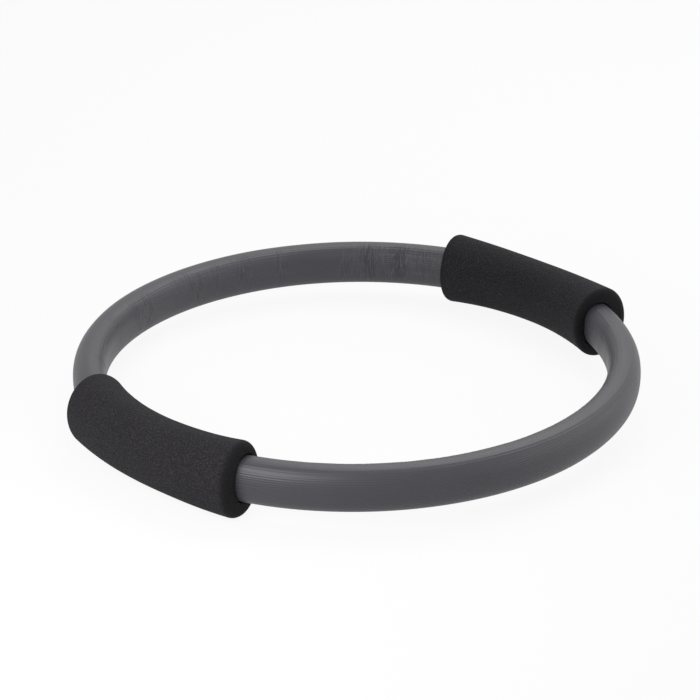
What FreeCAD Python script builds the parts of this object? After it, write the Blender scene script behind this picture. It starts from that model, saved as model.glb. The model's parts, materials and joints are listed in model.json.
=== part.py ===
import FreeCAD, Part
import os

import Sketcher

# Pilates ring, lying flat. Millimetres, +Z up. The hoop's axis is Z, the front grip is at -Y and the
# rear grip at +Y. The flats under the grips' ends lie on the plane z = 0.

SIZES = {
    # the hoop's middle line
    "hoop_radius": 179,
    # spring leaves: three strips on edge, stacked across the hoop
    "leaf_width": 15,
    "leaf_thickness": 2,
    "leaf_gap": 0.1,
    "leaf_butt_gap": 2,
    "leaf_stagger": 56,
    # tape wound round the stack of leaves
    "binding_length": 24,
    "binding_thickness": 0.3,
    "binding_clearance": 0.05,
    # foam cover tube, whose section is oval because of the flat stack in it
    "cover_clearance": 0.3,
    "cover_wall": 7.25,
    "cover_butt_gap": 1,
    "link_gap": 0.3,
    # foam grips
    "grip_length": 147,
    "grip_wall": 8,
    "grip_end_swell": 2,
    "grip_end_lean": 2.8,
    "grip_clearance": 0.3,
    "mouth_gap": 1,
    "mouth_bevel": 1,
    "rest_flat_depth": 0.5,
    # a grip is straighter than the hoop, so its end faces turn by less than the hoop does
    "grip_tilt_share": 0.31,
    # end rounding as a share of the end face's narrowest place
    "grip_round_share": 0.88,
    # bends as shares of the way from a grip's mouth to the middle of a side
    "bend_two_share": 0.22,
    "bend_three_share": 0.57,
    "bend_four_share": 0.83,
}

# Worked out from the sizes. Angles are in degrees round the hoop, counted from the middle of a grip.
LAYOUT = {
    "degrees_per_length": "=180 / (pi * Sizes.hoop_radius)",
    "grip_angle": "=Sizes.grip_length * degrees_per_length",
    "link_gap_angle": "=Sizes.link_gap * degrees_per_length",
    "cover_butt_angle": "=Sizes.cover_butt_gap * degrees_per_length",
    "leaf_butt_angle": "=Sizes.leaf_butt_gap * degrees_per_length",
    "leaf_stagger_angle": "=Sizes.leaf_stagger * degrees_per_length",
    "binding_angle": "=Sizes.binding_length * degrees_per_length",
    "bend_one": "=(Sizes.grip_length / 2 + Sizes.mouth_gap) * degrees_per_length",
    "bend_two": "=bend_one + Sizes.bend_two_share * (90 - bend_one)",
    "bend_three": "=bend_one + Sizes.bend_three_share * (90 - bend_one)",
    "bend_four": "=bend_one + Sizes.bend_four_share * (90 - bend_one)",
    "leaf_pitch": "=Sizes.leaf_thickness + Sizes.leaf_gap",
    "stack_thickness": "=3 * Sizes.leaf_thickness + 2 * Sizes.leaf_gap",
    "bound_thickness": "=stack_thickness + 2 * (Sizes.binding_clearance + Sizes.binding_thickness)",
    "cover_bore": "=bound_thickness + 2 * Sizes.cover_clearance",
    "cover_thickness": "=cover_bore + 2 * Sizes.cover_wall",
    # the cover and the grips are taller than thick, as the stack of leaves is
    "section_rise": "=Sizes.leaf_width - stack_thickness",
    "grip_bore": "=cover_thickness + 2 * Sizes.grip_clearance",
    "grip_thickness": "=grip_bore + 2 * Sizes.grip_wall",
    # the end face is narrowest towards the hoop's axis, and a flared or tilted end takes up more of it
    "grip_end_wall": "=Sizes.grip_wall + Sizes.grip_end_swell - Sizes.grip_end_lean - Sizes.mouth_bevel",
    "grip_flare": "=atan(4 * (Sizes.grip_end_swell - Sizes.grip_end_lean) / Sizes.grip_length)",
    "grip_tilt": "=Sizes.grip_tilt_share * grip_angle / 2 * 1 deg",
    "grip_round": "=Sizes.grip_round_share * grip_end_wall * tan(45 deg - (grip_flare + grip_tilt) / 2)",
    # the grips are tallest where the end rounding starts, and the flats are cut there
    "shoulder_share": "=(1 - 2 * grip_round / Sizes.grip_length) ^ 2",
    "shoulder_height": "=(grip_thickness + section_rise) / 2 + shoulder_share * Sizes.grip_end_swell",
    "ring_height": "=shoulder_height - Sizes.rest_flat_depth",
}

# Turns about Z that bring a piece from +X to the front or the rear of the hoop.
FRONT, REAR = "-90", "90"
# Sections of a grip's outer form, from one end to the other, as shares of its half length.
GRIP_SECTION_SHARES = (-1, -0.68, -0.36, 0, 0.36, 0.68, 1)

doc = FreeCAD.newDocument("pilates_ring")


def make_sheet(name, cells):
    sheet = doc.addObject("Spreadsheet::Sheet", name)
    for row, (alias, value) in enumerate(cells.items(), start=1):
        sheet.set(f"A{row}", alias)
        sheet.set(f"B{row}", str(value))
        sheet.setAlias(f"B{row}", alias)
    doc.recompute()
    return sheet


def make_body(label, turn):
    """A body on the hoop's axis, at the height of its middle plane, turned about Z."""
    body = doc.addObject("PartDesign::Body", label)
    body.Label = label
    body.setExpression("Placement.Base.z", "Layout.ring_height")
    body.setExpression("Placement.Rotation.Angle", turn)
    return body


def make_sketch(body, name, plane):
    sketch = body.newObject("Sketcher::SketchObject", f"{body.Label}_{name}")
    support = next(f for f in body.Origin.OriginFeatures if f.Role == plane)
    sketch.AttachmentSupport = [(support, "")]
    sketch.MapMode = "FlatFace"
    return sketch


def bind(sketch, constraint, name, size):
    """Adds a dimension to a sketch and ties it to an expression."""
    index = sketch.addConstraint(constraint)
    sketch.renameConstraint(index, name)
    sketch.setExpression(f"Constraints.{name}", size)


def draw_oval(sketch, name, distance, thickness):
    """An upright ellipse on the sketch's first axis, at a distance from the hoop's axis."""
    middle = FreeCAD.Vector(doc.Sizes.hoop_radius, 0, 0)
    top = middle + FreeCAD.Vector(0, doc.Sizes.leaf_width, 0)
    side = middle + FreeCAD.Vector(doc.Sizes.cover_wall, 0, 0)
    oval = sketch.addGeometry(Part.Ellipse(top, side, middle))
    sketch.exposeInternalGeometry(oval)
    upright, level = oval + 1, oval + 2
    sketch.addConstraint(Sketcher.Constraint("PointOnObject", oval, 3, -1))
    sketch.addConstraint(Sketcher.Constraint("Vertical", upright))
    reach = Sketcher.Constraint("DistanceX", -1, 1, oval, 3, doc.Sizes.hoop_radius)
    bind(sketch, reach, f"{name}_distance", distance)
    tall = Sketcher.Constraint("Distance", upright, 2 * doc.Sizes.leaf_width)
    bind(sketch, tall, f"{name}_height", f"{thickness} + Layout.section_rise")
    thick = Sketcher.Constraint("Distance", level, 2 * doc.Sizes.cover_wall)
    bind(sketch, thick, f"{name}_thickness", thickness)


def draw_rectangle(sketch, name, near, far, across):
    """A rectangle even about the sketch's first axis, between two distances from the hoop's axis."""
    reach, wide = doc.Sizes.hoop_radius, doc.Sizes.leaf_width
    low, high = reach - wide / 2, reach + wide / 2
    corners = [FreeCAD.Vector(x, y, 0) for x, y in ((low, -wide), (high, -wide), (high, wide), (low, wide))]
    ends = corners[1:] + corners[:1]
    first = [sketch.addGeometry(Part.LineSegment(a, b)) for a, b in zip(corners, ends)][0]
    bottom, right, top, left = range(first, first + 4)
    for before, after in ((bottom, right), (right, top), (top, left), (left, bottom)):
        sketch.addConstraint(Sketcher.Constraint("Coincident", before, 2, after, 1))
    for side in (bottom, top):
        sketch.addConstraint(Sketcher.Constraint("Horizontal", side))
    sketch.addConstraint(Sketcher.Constraint("Vertical", right))
    sketch.addConstraint(Sketcher.Constraint("Symmetric", left, 1, left, 2, -1))
    bind(sketch, Sketcher.Constraint("DistanceX", -1, 1, bottom, 1, low), f"{name}_near", near)
    bind(sketch, Sketcher.Constraint("DistanceX", -1, 1, bottom, 2, high), f"{name}_far", far)
    bind(sketch, Sketcher.Constraint("DistanceY", right, 1, right, 2, 2 * wide), f"{name}_across", across)


def bend_round_hoop(body, sketch, span, kind="PartDesign::Revolution"):
    """Turns a profile about the hoop's axis, half of the span to each side."""
    turned = body.newObject(kind, f"{body.Label}_{sketch.Name}_turned")
    turned.Profile = sketch
    turned.ReferenceAxis = (sketch, ["V_Axis"])
    turned.Midplane = True
    turned.setExpression("Angle", span)
    return turned


def cover_length(label, turn, span):
    """One length of the foam cover tube."""
    body = make_body(label, turn)
    profile = make_sketch(body, "profile", "XZ_Plane")
    draw_oval(profile, "skin", "Sizes.hoop_radius", "Layout.cover_thickness")
    near, far = (f"Sizes.hoop_radius {sign} Layout.cover_bore / 2" for sign in "-+")
    draw_rectangle(profile, "bore", near, far, "Layout.cover_bore + Layout.section_rise")
    bend_round_hoop(body, profile, span)
    return body


def spring_leaf(label, steps_out, joint):
    """One strip of the spring, bent to an open hoop whose ends meet at the joint."""
    body = make_body(label, f"{joint} + 180")
    profile = make_sketch(body, "profile", "XZ_Plane")
    middle = f"Sizes.hoop_radius + ({steps_out}) * Layout.leaf_pitch"
    near, far = (f"{middle} {sign} Sizes.leaf_thickness / 2" for sign in "-+")
    draw_rectangle(profile, "strip", near, far, "Sizes.leaf_width")
    bend_round_hoop(body, profile, "360 - Layout.leaf_butt_angle")
    return body


def binding(label, turn):
    """Tape wound round the whole stack of leaves."""
    body = make_body(label, turn)
    profile = make_sketch(body, "profile", "XZ_Plane")
    for name, wall in (("inside", "Sizes.binding_clearance"),
                       ("outside", "(Sizes.binding_clearance + Sizes.binding_thickness)")):
        half = f"(Layout.stack_thickness / 2 + {wall})"
        near, far = (f"Sizes.hoop_radius {sign} {half}" for sign in "-+")
        draw_rectangle(profile, name, near, far, f"Sizes.leaf_width + 2 * {wall}")
    bend_round_hoop(body, profile, "Layout.binding_angle")
    return body


def oval_section(body, name, angle, facing, distance, thickness):
    """An upright ellipse at an angle round the hoop from the body's middle, facing at its own angle."""
    section = make_sketch(body, name, "XZ_Plane")
    upright = FreeCAD.Rotation(FreeCAD.Vector(0, 1, 0), 1)
    section.AttachmentOffset = FreeCAD.Placement(FreeCAD.Vector(), upright)
    section.setExpression("AttachmentOffset.Rotation.Angle", facing)
    for axis, sign, part in (("x", "+", "cos"), ("z", "-", "sin")):
        step = f"({part}({angle} * 1 deg) - {part}({facing} * 1 deg))"
        section.setExpression(f"AttachmentOffset.Base.{axis}", f"{sign}({distance}) * {step}")
    draw_oval(section, "outline", distance, thickness)
    return section


def dress_edges(base, name, kind, choice):
    """A chamfer or fillet of some of a feature's closed edges, chosen in order of length."""
    edges = enumerate(base.Shape.Edges, start=1)
    closed = sorted((edge.Length, f"Edge{number}") for number, edge in edges if edge.isClosed())
    body = base.getParentGeoFeatureGroup()
    dressed = body.newObject(kind, f"{body.Label}_{name}")
    dressed.Base = (base, [edge for _, edge in closed[choice]])
    return dressed


def grip(label, turn):
    """A foam sleeve bent to the hoop. Its ends are thicker and rounded, lean outwards and rest on flats."""
    body = make_body(label, turn)
    sections = []
    for number, share in enumerate(GRIP_SECTION_SHARES):
        distance = f"Sizes.hoop_radius + Sizes.grip_end_lean * {share ** 2}"
        thickness = f"Layout.grip_thickness + 2 * Sizes.grip_end_swell * {share ** 2}"
        angle = f"({share}) * Layout.grip_angle / 2"
        facing = f"{angle} * (1 - Sizes.grip_tilt_share)"
        sections.append(oval_section(body, f"section_{number}", angle, facing, distance, thickness))
    sleeve = body.newObject("PartDesign::AdditiveLoft", f"{label}_sleeve")
    sleeve.Profile = sections[0]
    sleeve.Sections = sections[1:]

    bore_profile = make_sketch(body, "bore", "XZ_Plane")
    draw_oval(bore_profile, "bore", "Sizes.hoop_radius", "Layout.grip_bore")
    bored = bend_round_hoop(body, bore_profile, "2 * Layout.grip_angle", "PartDesign::Groove")
    doc.recompute()

    # Of the end faces' closed edges the bore's are the shortest, and the outer rims the longest.
    bevelled = dress_edges(bored, "mouths", "PartDesign::Chamfer", slice(2))
    bevelled.setExpression("Size", "Sizes.mouth_bevel")
    doc.recompute()
    rounded = dress_edges(bevelled, "ends", "PartDesign::Fillet", slice(-2, None))
    rounded.setExpression("Radius", "Layout.grip_round")
    doc.recompute()

    below = make_sketch(body, "below", "XY_Plane")
    below.setExpression("AttachmentOffset.Base.z", "-Layout.ring_height")
    draw_rectangle(below, "cut", "Sizes.hoop_radius - Sizes.grip_length / 2",
                   "Sizes.hoop_radius + Sizes.grip_length / 2", "2 * Sizes.grip_length")
    flats = body.newObject("PartDesign::Pocket", f"{label}_flats")
    flats.Profile = below
    flats.Type = "ThroughAll"
    doc.recompute()
    if not len(flats.Shape.Faces) > len(rounded.Shape.Faces):
        raise RuntimeError(f"{label}: the flats cut nothing")
    return body


make_sheet("Sizes", SIZES)
make_sheet("Layout", LAYOUT)

# Grips, opposite each other.
subparts = [grip("front_grip", FRONT), grip("rear_grip", REAR)]

# Cover under the grips. The tube's two ends butt together in the middle of the rear grip.
subparts.append(cover_length("cover_front", FRONT, "2 * Layout.bend_one - Layout.link_gap_angle"))
end_span = "(Layout.bend_one - (Layout.link_gap_angle + Layout.cover_butt_angle) / 2)"
end_middle = f"({end_span} + Layout.cover_butt_angle) / 2"
subparts.append(cover_length("cover_rear_right_end", f"{REAR} - {end_middle}", end_span))
subparts.append(cover_length("cover_rear_left_end", f"{REAR} + {end_middle}", end_span))

# Bare cover between the grips, in lengths that meet where the hoop bends. On the left the middle length
# is halved.
BENDS = ["Layout.bend_one", "Layout.bend_two", "Layout.bend_three", "Layout.bend_four"]
rear_bends = [f"(180 - {bend})" for bend in reversed(BENDS)]
right, left = BENDS + rear_bends, BENDS + ["90"] + rear_bends
for side, sign, stations in (("right", "+", right), ("left", "-", left)):
    for number, (start, end) in enumerate(zip(stations, stations[1:]), start=1):
        turn = f"{FRONT} {sign} ({start} + {end}) / 2"
        span = f"{end} - {start} - Layout.link_gap_angle"
        subparts.append(cover_length(f"cover_{side}_{number}", turn, span))

# Spring leaves, with their butt joints spread out under the grips, and a binding over each joint.
JOINTS = {
    "outer": (1, f"{FRONT} - Layout.leaf_stagger_angle / 2"),
    "middle": (0, REAR),
    "inner": (-1, f"{FRONT} + Layout.leaf_stagger_angle / 2"),
}
for name, (steps_out, joint) in JOINTS.items():
    subparts.append(spring_leaf(f"{name}_leaf", steps_out, joint))
    subparts.append(binding(f"binding_{name}_joint", joint))

# Bindings half way along the second length of cover from each grip.
between = "(Layout.bend_two + Layout.bend_three) / 2"
for name, turn in (("front_right", f"{FRONT} + {between}"), ("front_left", f"{FRONT} - {between}"),
                   ("rear_right", f"{REAR} - {between}"), ("rear_left", f"{REAR} + {between}")):
    subparts.append(binding(f"binding_{name}", turn))

doc.recompute()
for thing in doc.Objects:
    if "Invalid" in thing.State or "Error" in thing.State:
        raise RuntimeError(f"{thing.Label} failed: {thing.State}")
for body in subparts:
    if body.Shape.isNull() or not body.Shape.isValid() or len(body.Shape.Solids) != 1:
        raise RuntimeError(f"{body.Label} is not one valid solid")

os.makedirs("parts", exist_ok=True)
for body in subparts:
    body.Shape.exportStep(f"parts/{body.Label}.step")
    print(body.Label, round(body.Shape.Volume, 1))
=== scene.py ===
import json
import math

import bmesh
import bpy
import numpy as np
from mathutils import Matrix, Vector, noise

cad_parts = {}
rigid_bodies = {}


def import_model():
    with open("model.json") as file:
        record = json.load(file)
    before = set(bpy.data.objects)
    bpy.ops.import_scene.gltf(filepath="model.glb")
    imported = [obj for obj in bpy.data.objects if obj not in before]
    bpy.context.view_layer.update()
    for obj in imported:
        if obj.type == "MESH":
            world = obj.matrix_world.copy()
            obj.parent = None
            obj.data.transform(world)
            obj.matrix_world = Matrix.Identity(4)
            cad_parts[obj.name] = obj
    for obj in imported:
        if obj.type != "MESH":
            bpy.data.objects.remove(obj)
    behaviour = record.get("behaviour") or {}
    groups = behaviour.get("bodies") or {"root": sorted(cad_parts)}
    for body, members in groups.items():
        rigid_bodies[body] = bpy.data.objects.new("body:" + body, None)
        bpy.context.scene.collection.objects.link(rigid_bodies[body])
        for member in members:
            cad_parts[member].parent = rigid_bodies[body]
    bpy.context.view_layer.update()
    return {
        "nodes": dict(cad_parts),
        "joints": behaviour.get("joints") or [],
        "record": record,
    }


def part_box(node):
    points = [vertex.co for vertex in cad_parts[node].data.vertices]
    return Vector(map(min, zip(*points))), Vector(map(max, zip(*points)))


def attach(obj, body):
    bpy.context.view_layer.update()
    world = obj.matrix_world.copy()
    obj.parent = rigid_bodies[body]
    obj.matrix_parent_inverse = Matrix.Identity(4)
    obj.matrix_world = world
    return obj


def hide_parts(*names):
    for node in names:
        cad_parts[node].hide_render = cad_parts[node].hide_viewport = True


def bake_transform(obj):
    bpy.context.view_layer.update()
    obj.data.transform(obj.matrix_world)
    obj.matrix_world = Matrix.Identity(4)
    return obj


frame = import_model()


# The spring: three strips of glass fibre in resin, nested on edge and bent to open hoops. Each strip's ends
# butt under a grip, held only by the tape round the stack. It is cut into one stretch for each bend of the
# hoop, from half way to the bend before to half way to the bend after.
HOOP_RADIUS = 0.179
tube_low, tube_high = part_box("cover_right_4")
HOOP_HEIGHT = (tube_low.z + tube_high.z) / 2
STRIP_WIDTH = 0.015
STRIP_THICKNESS = 0.002
STRIP_PITCH = 0.0021
STRIP_CORNER = 0.0004
STRIP_STEP = 0.003
STRIP_BUTT_GAP = 0.002
STRIP_STAGGER = 0.056
SHARP_CORNER = math.radians(40)
FIBRE_DARK = (0.40, 0.36, 0.22)
FIBRE_LIGHT = (0.70, 0.68, 0.52)
FIBRE_RELIEF = 0.00004
FIBRE_STRETCH = (1, 1, 0.01)
# how many strips out from the middle one, and the angle of the butt joint from the front grip's middle
STRIPS = {1: -STRIP_STAGGER / 2 / HOOP_RADIUS, 0: math.pi, -1: STRIP_STAGGER / 2 / HOOP_RADIUS}


def turn_of(point):
    """The angle round the hoop from the front grip's middle, positive on the right."""
    return math.atan2(point[0], -point[1])


def hoop_point(turn):
    """A point on the hoop's middle line."""
    return Vector((HOOP_RADIUS * math.sin(turn), -HOOP_RADIUS * math.cos(turn), HOOP_HEIGHT))


def across_hoop(turn, out=0.0):
    """A frame that stands across the hoop: X outwards, Y up, at a place out from the middle line."""
    place = Matrix.Translation((HOOP_RADIUS + out, 0, HOOP_HEIGHT))
    upright = Matrix.Rotation(math.pi / 2, 4, "X")
    return Matrix.Rotation(turn - math.pi / 2, 4, "Z") @ place @ upright


def cover_nodes(body):
    """The solids of the cover that belong to a body."""
    return [n for n in frame["record"]["behaviour"]["bodies"][body] if n.startswith("cover_")]


def hoop_stretches(side, sign):
    """The stretches of one side, from the front grip's middle to the rear grip's."""
    joints = [j for j in frame["joints"] if sign * turn_of(j["pos_m"]) > 0]
    joints.sort(key=lambda j: sign * turn_of(j["pos_m"]))
    turns = [sign * turn_of(j["pos_m"]) for j in joints]
    edges = [0, *((a + b) / 2 for a, b in zip(turns, turns[1:])), math.pi]
    found = []
    for number, (joint, turn) in enumerate(zip(joints, turns), start=1):
        start, end = edges[number - 1], edges[number]
        low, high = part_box(cover_nodes(joint["child"])[0])
        bodies = [joint["parent"], joint["child"]]
        if sign * turn_of((low + high) / 2) < turn:
            bodies.reverse()
        reach = min(turn - start, end - turn)
        found.append({
            "name": f"{side}_{number}",
            "bodies": bodies,
            "turns": sorted((sign * start, sign * end)),
            "start": hoop_point(sign * (turn - reach)),
            "end": hoop_point(sign * (turn + reach)),
        })
    return found


def spin_along_hoop(mesh, profile, angle, step):
    """Sweeps a flat profile round the hoop's axis to a closed solid, in steps of about one length."""
    steps = max(1, round(angle * HOOP_RADIUS / step))
    bmesh.ops.spin(mesh, geom=profile, cent=(0, 0, 0), axis=(0, 0, 1), angle=angle, steps=steps)


def make_piece(name, mesh, finish):
    """Turns a bmesh into an object with outward faces and sharp corners, and gives it its finish."""
    bmesh.ops.recalc_face_normals(mesh, faces=mesh.faces)
    for face in mesh.faces:
        face.smooth = True
    for edge in mesh.edges:
        edge.smooth = edge.calc_face_angle(0) < SHARP_CORNER
    data = bpy.data.meshes.new(name)
    mesh.to_mesh(data)
    mesh.free()
    data.materials.append(finish)
    piece = bpy.data.objects.new(name, data)
    bpy.context.scene.collection.objects.link(piece)
    return piece


def points_of(piece):
    """The places of a piece's vertices, one to a row."""
    points = np.empty(len(piece.data.vertices) * 3)
    piece.data.vertices.foreach_get("co", points)
    return points.reshape(-1, 3)


def straighten(points, middle):
    """Places on a stretch as if the hoop were straight: outwards, upwards and along, in metres."""
    turn = np.arctan2(points[:, 0], -points[:, 1]) - middle
    turn = (turn + math.pi) % (2 * math.pi) - math.pi + middle
    out = np.hypot(points[:, 0], points[:, 1]) - HOOP_RADIUS
    return np.column_stack((out, points[:, 2] - HOOP_HEIGHT, turn * HOOP_RADIUS))


def keep_straight(piece, places):
    """Stores the straightened places with the mesh, so that a finish follows the piece as it bends."""
    attribute = piece.data.attributes.new("straight", "FLOAT_VECTOR", "POINT")
    attribute.data.foreach_set("vector", places.astype(np.float32).ravel())


class Wire:
    """An output of one of a finish's nodes. Sums with numbers and other wires add Math nodes."""

    def __init__(self, tree, socket=None):
        self.tree = tree
        self.socket = socket

    def node(self, kind, settings=None, inputs=None, output=0):
        """Adds a node to the same finish: its settings first, then its sockets' values or links."""
        made = self.tree.nodes.new(kind)
        for name, value in (settings or {}).items():
            setattr(made, name, value)
        for name, value in (inputs or {}).items():
            if isinstance(value, Wire):
                self.tree.links.new(value.socket, made.inputs[name])
            else:
                made.inputs[name].default_value = value
        return Wire(self.tree, made.outputs[output] if made.outputs else None)

    def math(self, operation, first, second):
        return self.node("ShaderNodeMath", {"operation": operation}, {0: first, 1: second})

    def __add__(self, other):
        return self.math("ADD", self, other)

    def __sub__(self, other):
        return self.math("SUBTRACT", self, other)

    def __rsub__(self, other):
        return self.math("SUBTRACT", other, self)

    def __mul__(self, other):
        return self.math("MULTIPLY", self, other)

    __radd__ = __add__


def new_finish(name):
    """An empty finish, and a wire to start its nodes from."""
    finish = bpy.data.materials.new(name)
    finish.use_nodes = True
    finish.node_tree.nodes.clear()
    return finish, Wire(finish.node_tree)


def straight_place(blank):
    """The straightened places that are stored with a piece."""
    return blank.node("ShaderNodeAttribute", {"attribute_name": "straight"}, output="Vector")


def stretched(place, scale):
    """Places with their axes scaled: a texture is drawn out along an axis with a small scale."""
    return place.node("ShaderNodeVectorMath", {"operation": "MULTIPLY"}, {0: place, 1: scale})


def mottle(place, scale, detail=2.0):
    """Soft noise from 0 to 1, with a number of spots to the metre."""
    return place.node("ShaderNodeTexNoise", {}, {"Vector": place, "Scale": scale, "Detail": detail})


def ramp(value, low, high):
    """0 below low, 1 above high, and smooth in between."""
    return value.node("ShaderNodeMapRange", {"interpolation_type": "SMOOTHSTEP"},
                      {"Value": value, "From Min": low, "From Max": high})


def two_tone(share, first, second):
    """A colour between two, by a share from 0 to 1."""
    return share.node("ShaderNodeMix", {"data_type": "RGBA", "clamp_factor": True},
                      {0: share, 6: (*first, 1), 7: (*second, 1)}, output=2)


def relief(height, depth):
    """A bump of a height from 0 to 1, so many metres deep."""
    return height.node("ShaderNodeBump", {}, {"Strength": 1.0, "Distance": depth, "Height": height})


def shade(colour, roughness, normal, **same_all_over):
    """Ends a finish in its shader."""
    inputs = {"Base Color": colour, "Roughness": roughness, "Normal": normal}
    inputs.update({name.replace("_", " "): value for name, value in same_all_over.items()})
    surface = colour.node("ShaderNodeBsdfPrincipled", {}, inputs)
    surface.node("ShaderNodeOutputMaterial", {}, {"Surface": surface})


glass_fibre, blank = new_finish("glass_fibre")
place = straight_place(blank)
fibres = mottle(stretched(place, FIBRE_STRETCH), scale=2600, detail=4)
resin = mottle(place, scale=120)
shade(
    two_tone(fibres * 0.7 + resin * 0.3, FIBRE_DARK, FIBRE_LIGHT),
    roughness=0.28 + fibres * 0.25,
    normal=relief(fibres, FIBRE_RELIEF),
)

stretches = hoop_stretches("right", 1) + hoop_stretches("left", -1)
for stretch in stretches:
    low, high = stretch["turns"]
    mesh = bmesh.new()
    for steps_out, joint in STRIPS.items():
        gaps = [joint, joint - 2 * math.pi]
        half_gap = STRIP_BUTT_GAP / 2 / HOOP_RADIUS
        cuts = sorted(g for gap in gaps for g in (gap - half_gap, gap + half_gap) if low < g < high)
        ends = [low, *cuts, high]
        for start, end in zip(ends, ends[1:]):
            if any(abs((start + end) / 2 - gap) < half_gap for gap in gaps):
                continue
            size = Matrix.Diagonal((STRIP_THICKNESS, STRIP_WIDTH, 1, 1))
            upright = across_hoop(start, steps_out * STRIP_PITCH) @ size
            flat = bmesh.ops.create_grid(mesh, x_segments=1, y_segments=1, size=0.5, matrix=upright)
            rounded = bmesh.ops.bevel(mesh, geom=flat["verts"], offset=STRIP_CORNER, offset_type="OFFSET",
                                      affect="VERTICES", segments=3, profile=0.5, material=-1)
            section = rounded["verts"][0].link_faces[0]
            profile = [*section.verts, *section.edges, section]
            spin_along_hoop(mesh, profile, end - start, STRIP_STEP)
    strips = make_piece(f"spring_{stretch['name']}", mesh, glass_fibre)
    keep_straight(strips, straighten(points_of(strips), (low + high) / 2))
    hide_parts("outer_leaf", "middle_leaf", "inner_leaf")
    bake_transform(strips)


# The bindings: cloth tape wound round the strips, over each butt joint and between the grips and the sides.
# They keep their solids and get the tape's weave.
TAPE_DARK = (0.030, 0.030, 0.032)
TAPE_LIGHT = (0.075, 0.074, 0.072)
TAPE_RELIEF = 0.00006
THREADS_PER_METRE = 2400.0

tape_cloth, blank = new_finish("tape_cloth")
place = blank.node("ShaderNodeTexCoord", {}, output="Object")
threads = place.node("ShaderNodeTexChecker", {},
                     {"Vector": place, "Scale": THREADS_PER_METRE}, output="Fac")
fuzz = mottle(place, scale=3000)
shade(
    two_tone(threads * 0.4 + fuzz * 0.6, TAPE_DARK, TAPE_LIGHT),
    roughness=0.7 + fuzz * 0.25,
    normal=relief(threads * 0.5 + fuzz * 0.5, TAPE_RELIEF),
)
for name, node in frame["nodes"].items():
    if name.startswith("binding_"):
        node.data.materials.clear()
        node.data.materials.append(tape_cloth)


# The cover: one length of grey closed-cell foam tube with a moulded skin, closed to a hoop over the spring.
# The flat stack in it makes its section oval. Die lines run along it, and the skin on the inside of the
# hoop is pressed to fine cross wrinkles. Its two ends butt inside the rear grip.
COVER_OUT = 0.011
COVER_UP = 0.0149
# the powers of the oval's two halves: an ellipse has 2, and more is squarer
OUTER_SQUARENESS = 2.3
INNER_SQUARENESS = 2.6
BORE_SHARE = 0.66
COVER_SIDES = 72
BORE_SIDES = 24
COVER_STEP = 0.0004
COVER_BUTT_GAP = 0.001
UNEVENNESS = 0.00012
UNEVEN_SPANS = (0.030, 0.030, 0.045)
WRINKLE_DEPTH = 0.0005
WRINKLE_SPANS = (0.011, 0.011, 0.0017)
FAINT_SHARE = 0.4
FAINT_SPANS = (0.05, 0.05, 0.016)
# where the wrinkles begin and where they are full: inwards and upwards, in parts of the section's half
# sizes, and in the noise that spreads the faint ones
INWARD_LIMITS = (-0.1, 0.7)
UPWARD_LIMITS = (-0.9, -0.2)
FAINT_LIMITS = (-0.1, 0.35)
# angles from the front grip's middle at which the skin is wrinkled most, and how far such a patch reaches
WRINKLED_TURNS = (-2.524, -2.390)
WRINKLED_REACH = 0.007
EDGE_FADE = 0.002
SKIN_DARK = (0.032, 0.0305, 0.038)
SKIN_LIGHT = (0.053, 0.050, 0.061)
SKIN_RELIEF = 0.00045
# the wave texture's scale for grooves 1.3 mm apart, and how much they waver
GROOVE_SCALE = 240.0
GROOVE_WAVER = 0.6
STREAK_STRETCH = (1, 1, 0.012)
FOLD_STRETCH = (0.13, 0.13, 1)


def smooth_share(values, low, high):
    """0 below low, 1 above high, and smooth in between."""
    share = np.clip((values - low) / (high - low), 0, 1)
    return share * share * (3 - 2 * share)


def noise_at(places, spans):
    """Smooth noise from about -1 to 1, whose spots have these spans outwards, upwards and along."""
    return np.array([noise.noise(spot) for spot in (places / np.array(spans)).tolist()])


def squared(out, up):
    """How much further out than an ellipse the skin lies, because the flat stack squares the tube."""
    power = np.where(out < 0, INNER_SQUARENESS, OUTER_SQUARENESS)
    return (np.abs(out) ** power + np.abs(up) ** power) ** (-1 / power)


def wrinkled(places):
    """How wrinkled the skin is: faintly on the hoop's upper inside, and most in a few patches there."""
    inside = smooth_share(-places[:, 0] / COVER_OUT, *INWARD_LIMITS)
    inside *= smooth_share(places[:, 1] / COVER_UP, *UPWARD_LIMITS)
    patches = FAINT_SHARE * smooth_share(noise_at(places, FAINT_SPANS), *FAINT_LIMITS)
    for turn in WRINKLED_TURNS:
        distance = places[:, 2] - turn * HOOP_RADIUS
        patches = np.maximum(patches, np.exp(-(distance / WRINKLED_REACH) ** 2))
    return inside * patches


def cover_relief(places, wrinkles, ends):
    """How far the cover's skin lies above or below a plain tube."""
    creases = 1 - np.abs(noise_at(places, WRINKLE_SPANS))
    along = places[:, 2]
    fade = smooth_share(np.minimum(along - ends[0], ends[1] - along), 0, EDGE_FADE)
    swell = noise_at(places, UNEVEN_SPANS)
    return UNEVENNESS * swell - WRINKLE_DEPTH * creases ** 3 * wrinkles * fade


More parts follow.
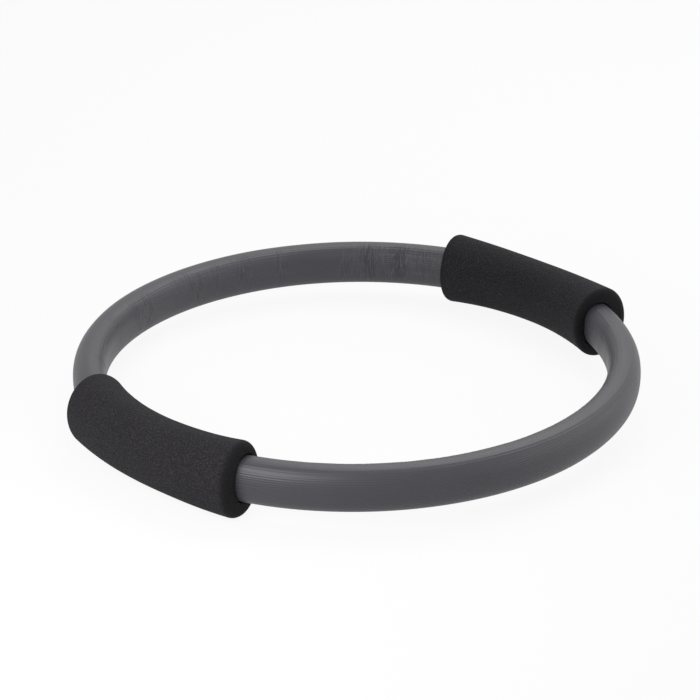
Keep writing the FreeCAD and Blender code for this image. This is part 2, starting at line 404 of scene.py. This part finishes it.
cover_skin, blank = new_finish("cover_skin")
place = straight_place(blank)
streaks = mottle(stretched(place, STREAK_STRETCH), scale=1400, detail=0)
grooves = place.node("ShaderNodeTexWave", {"bands_direction": "Y"},
                     {"Vector": place, "Scale": GROOVE_SCALE, "Distortion": GROOVE_WAVER}, output="Fac")
grooved = ramp(mottle(place, scale=12), low=0.35, high=0.60)
die_lines = streaks * 0.6 + grooves * (0.2 + grooved * 0.4)
cross_lines = ramp(mottle(stretched(place, FOLD_STRETCH), scale=760, detail=3), low=0.42, high=0.58)
creased = place.node("ShaderNodeAttribute", {"attribute_name": "creased"}, output="Fac")
# in the colour the folds are painted shade in the creases and painted light on the ridges between them; in
# the bump they are the folds' own relief
folds_and_painted_shade = (cross_lines - 0.5) * creased
pores = mottle(place, scale=2200)
cloudy = mottle(place, scale=45, detail=3)
shade(
    two_tone(cloudy * 0.55 + die_lines * 0.25 + pores * 0.2 + folds_and_painted_shade * 2.2, SKIN_DARK, SKIN_LIGHT),
    roughness=0.37 + cloudy * 0.10 + pores * 0.08,
    normal=relief(die_lines * 0.42 + folds_and_painted_shade * 0.8 + pores * 0.05, SKIN_RELIEF),
)

for stretch in stretches:
    low, high = stretch["turns"]
    half_gap = COVER_BUTT_GAP / 2 / HOOP_RADIUS
    low, high = max(low, half_gap - math.pi), min(high, math.pi - half_gap)
    mesh = bmesh.new()
    oval = Matrix.Diagonal((COVER_OUT, COVER_UP, 1, 1))
    for share, sides in ((1, COVER_SIDES), (BORE_SHARE, BORE_SIDES)):
        bmesh.ops.create_circle(mesh, segments=sides, radius=share, matrix=across_hoop(low) @ oval)
    bmesh.ops.bridge_loops(mesh, edges=mesh.edges[:])
    spin_along_hoop(mesh, [*mesh.verts, *mesh.edges, *mesh.faces], high - low, COVER_STEP)
    cover = make_piece(f"cover_{stretch['name']}_skin", mesh, cover_skin)
    places = straighten(points_of(cover), (low + high) / 2)
    keep_straight(cover, places)
    skin = np.hypot(places[:, 0] / COVER_OUT, places[:, 1] / COVER_UP) > (1 + BORE_SHARE) / 2
    wrinkles = wrinkled(places)
    attribute = cover.data.attributes.new("creased", "FLOAT", "POINT")
    attribute.data.foreach_set("value", wrinkles.astype(np.float32))
    rise = cover_relief(places[skin], wrinkles[skin], (low * HOOP_RADIUS, high * HOOP_RADIUS))
    around = places[skin, :2] / (COVER_OUT, COVER_UP)
    places[skin, :2] *= squared(*around.T)[:, None]
    away = around / (COVER_OUT, COVER_UP)
    away /= np.linalg.norm(away, axis=1)[:, None]
    places[skin, :2] += rise[:, None] * away
    reach = HOOP_RADIUS + places[:, 0]
    turn = places[:, 2] / HOOP_RADIUS
    points = np.column_stack((reach * np.sin(turn), -reach * np.cos(turn), places[:, 1] + HOOP_HEIGHT))
    cover.data.vertices.foreach_set("co", points.ravel())
    cover.data.update()
    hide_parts(*(node for body in stretch["bodies"] for node in cover_nodes(body)))
    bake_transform(cover)


# The grips: two sleeves of soft black foam with a ground surface, pushed over the cover on opposite sides.
# They are straighter than the hoop and thicker towards their rounded ends, which lean outwards and rest on
# small flats. The rear one is pressed down a little on top of its middle.
GRIP_HALF = 0.0735
GRIP_BORE = 0.0113
GRIP_OUT = 0.0193
GRIP_END_OUT = 0.0213
GRIP_RISE = 0.0044
GRIP_END_LEAN = 0.0028
GRIP_END_TILT = 0.127
END_ROUND = 0.0048
MOUTH_ROUND = 0.0010
END_FACETS = 16
MOUTH_FACETS = 6
GRIP_SIDES = 144
GRIP_STEP = 0.0009
GRIP_UNEVENNESS = 0.0003
GRIP_UNEVEN_SPANS = (0.022, 0.022, 0.040)
FLAT_SOFTNESS = 0.00015
FOAM_DARK = (0.0063, 0.0058, 0.0066)
FOAM_LIGHT = (0.042, 0.039, 0.044)
FOAM_RELIEF = 0.0005
CELLS_PER_METRE = 1250.0
END_SHADE_INSET = 0.001
# the grip's node and body, its angle round the hoop, and how far its middle is pressed down from above
GRIPS = (("front_grip", "front_end", 0, 0), ("rear_grip", "rear_end", math.pi, 0.0028))

grip_foam, blank = new_finish("grip_foam")
place = straight_place(blank)
cells = place.node("ShaderNodeTexVoronoi", {},
                   {"Vector": place, "Scale": CELLS_PER_METRE}, output="Distance")
specks = mottle(place, scale=1200)
grain = mottle(place, scale=3600)
worn = mottle(place, scale=40, detail=3)
along = place.node("ShaderNodeSeparateXYZ", {}, {"Vector": place}, output="Z")
from_middle = along.math("ABSOLUTE", along, 0)
# painted shade: the foam's colour darkens over the rounded ends and is darkest at the end faces, which turn
# from the light and sit against the tube
painted_end_shade = ramp(from_middle, low=GRIP_HALF - END_ROUND, high=GRIP_HALF - END_SHADE_INSET)
fleck = ramp(specks, low=0.42, high=0.74) * 0.7 + cells * 0.15 + worn * 0.15
shade(
    two_tone(fleck * (1 - painted_end_shade * 0.8), FOAM_DARK, FOAM_LIGHT),
    roughness=0.82 + grain * 0.15,
    normal=relief(cells * 0.45 + specks * 0.40 + grain * 0.15, FOAM_RELIEF),
    Specular_IOR_Level=0.2,
)


def sleeve():
    """A straight sleeve along X, of one thickness, with rounded ends and mouths."""
    wall = GRIP_END_OUT - GRIP_BORE
    middle = Matrix.Translation((0, GRIP_BORE + wall / 2, 0))
    size = Matrix.Diagonal((2 * GRIP_HALF, wall, 1, 1))
    mesh = bmesh.new()
    flat = bmesh.ops.create_grid(mesh, x_segments=1, y_segments=1, size=0.5, matrix=middle @ size)
    rim = [v for v in flat["verts"] if v.co.y > GRIP_BORE + wall / 2]
    mouth = [v for v in flat["verts"] if v not in rim]
    for verts, offset, segments in ((rim, END_ROUND, END_FACETS), (mouth, MOUTH_ROUND, MOUTH_FACETS)):
        bmesh.ops.bevel(mesh, geom=verts, offset=offset, offset_type="OFFSET", affect="VERTICES",
                        segments=segments, profile=0.5, material=-1)
    bmesh.ops.delete(mesh, geom=mesh.faces[:], context="FACES_ONLY")
    for edge in [e for e in mesh.edges if e.calc_length() > GRIP_HALF]:
        bmesh.ops.subdivide_edges(mesh, edges=[edge], cuts=round(edge.calc_length() / GRIP_STEP))
    bmesh.ops.spin(mesh, geom=[*mesh.verts, *mesh.edges], cent=(0, 0, 0), axis=(1, 0, 0),
                   angle=2 * math.pi, steps=GRIP_SIDES, use_merge=True)
    return mesh


for name, body, middle, pressed in GRIPS:
    grip = make_piece(f"{name}_sleeve", sleeve(), grip_foam)
    along, out, down = points_of(grip).T
    up = -down
    share = (along / GRIP_HALF) ** 2
    around = np.hypot(out, up)
    depth = (around - GRIP_BORE) / (GRIP_END_OUT - GRIP_BORE)
    outer = GRIP_OUT + (GRIP_END_OUT - GRIP_OUT) * share
    radius = GRIP_BORE + depth * (outer - GRIP_BORE)
    spots = np.column_stack((out, up, along + middle))
    radius += depth * GRIP_UNEVENNESS * noise_at(spots, GRIP_UNEVEN_SPANS)
    snug = 1 + (squared(out / around, up / around) - 1) * np.clip(1 - 2 * depth, 0, 1)
    places = np.column_stack((out / around * radius, up / around * (radius + GRIP_RISE), along))
    places[:, :2] *= snug[:, None]
    keep_straight(grip, places + (middle, 0, 0))
    across = places[:, 0] + depth * GRIP_END_LEAN * share
    reach = HOOP_RADIUS + across
    height = places[:, 1] + HOOP_HEIGHT - pressed * depth * (1 - share) * np.clip(up / around, 0, 1)
    height = (height + np.hypot(height, 2 * FLAT_SOFTNESS)) / 2
    turn = (along - across * GRIP_END_TILT * along / GRIP_HALF) / HOOP_RADIUS + middle
    points = np.column_stack((reach * np.sin(turn), -reach * np.cos(turn), height))
    grip.data.vertices.foreach_set("co", points.ravel())
    grip.data.update()
    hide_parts(name)
    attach(grip, body)


# The studio: a white floor in a white room, with one soft box above and behind the ring, one at its right
# and a small one close to the front grip on the left.
FLOOR_SIZE = 6.0
FLOOR_DROP = 0.0002
FLOOR_GLOW_SHARE = 0.9
PAPER_DARK = (0.89, 0.89, 0.89)
PAPER_LIGHT = (0.91, 0.91, 0.91)
WHITE = (1, 1, 1, 1)
ROOM_STRENGTH = 0.35


def any_sight(blank):
    """1 for a ray that the camera, a reflection or a clear body sees, and 0 for one that only lights."""
    sights = [blank.node("ShaderNodeLightPath", {}, output=f"Is {kind} Ray")
              for kind in ("Camera", "Glossy", "Transmission")]
    return sights[0].math("MAXIMUM", sights[0], sights[1].math("MAXIMUM", sights[1], sights[2]))


paper, blank = new_finish("white_paper")
fibre = mottle(blank.node("ShaderNodeTexCoord", {}, output="Object"), scale=400)
matt = blank.node("ShaderNodeBsdfDiffuse", {}, {"Color": two_tone(fibre, PAPER_DARK, PAPER_LIGHT)})
glow = blank.node("ShaderNodeEmission", {}, {"Color": WHITE, "Strength": 1.0})
seen = any_sight(blank)
surface = blank.node("ShaderNodeMixShader", {}, {0: seen * FLOOR_GLOW_SHARE, 1: matt, 2: glow})
blank.node("ShaderNodeOutputMaterial", {}, {"Surface": surface})

mesh = bmesh.new()
bmesh.ops.create_grid(mesh, x_segments=1, y_segments=1, size=FLOOR_SIZE / 2,
                      matrix=Matrix.Translation((0, 0, -FLOOR_DROP)))
floor = make_piece("floor", mesh, paper)

room = bpy.data.worlds.new("white_room")
room.use_nodes = True
room.node_tree.nodes.clear()
blank = Wire(room.node_tree)
strength = ROOM_STRENGTH + any_sight(blank) * (1 - ROOM_STRENGTH)
backdrop = blank.node("ShaderNodeBackground", {}, {"Color": WHITE, "Strength": strength})
blank.node("ShaderNodeOutputWorld", {}, {"Surface": backdrop})
bpy.context.scene.world = room

# The camera stands where the photograph was taken from, by a fit of the hoop to the photograph's edges.
CAMERA_TURN = 0.8053
CAMERA_RISE = 0.4353
CAMERA_DISTANCE = 9.5930 * HOOP_RADIUS
CAMERA_ROLL = -0.0096
CAMERA_LENS = 131.31
SENSOR_WIDTH = 36.0
AIM_RIGHT = -0.0248 * HOOP_RADIUS
AIM_UP = 0.0589 * HOOP_RADIUS

middle = Vector((0, 0, HOOP_HEIGHT))
facing = Matrix.Rotation(CAMERA_TURN, 3, "Z")
stand = Vector((0, -CAMERA_DISTANCE * math.cos(CAMERA_RISE), CAMERA_DISTANCE * math.sin(CAMERA_RISE)))
eye = middle + facing @ stand
aim = middle + facing @ Vector((AIM_RIGHT, 0, AIM_UP))
camera = bpy.data.objects.new("camera", bpy.data.cameras.new("camera"))
camera.data.lens = CAMERA_LENS
camera.data.sensor_width = SENSOR_WIDTH
camera.matrix_world = (
    Matrix.Translation(eye)
    @ (aim - eye).to_track_quat("-Z", "Y").to_matrix().to_4x4()
    @ Matrix.Rotation(CAMERA_ROLL, 4, "Z")
)
bpy.context.scene.collection.objects.link(camera)
bpy.context.scene.camera = camera

# place to the right, away from the camera and up, width, height and power of each soft box
SOFT_BOXES = {
    "top_box": ((0.35, 0.65, 1.05), 1.1, 0.8, 7.2),
    "right_box": ((1.20, -0.10, 0.40), 1.4, 0.9, 4.4),
    "left_box": ((-0.28, -0.40, 0.27), 0.26, 0.26, 1.5),
}
for name, (spot, width, height, power) in SOFT_BOXES.items():
    lamp = bpy.data.objects.new(name, bpy.data.lights.new(name, "AREA"))
    lamp.data.shape = "RECTANGLE"
    lamp.data.size = width
    lamp.data.size_y = height
    lamp.data.energy = power
    lamp.visible_camera = False
    place = middle + facing @ Vector(spot)
    turned = (middle - place).to_track_quat("-Z", "Y")
    lamp.matrix_world = Matrix.Translation(place) @ turned.to_matrix().to_4x4()
    bpy.context.scene.collection.objects.link(lamp)

bpy.context.scene.view_settings.view_transform = "Standard"
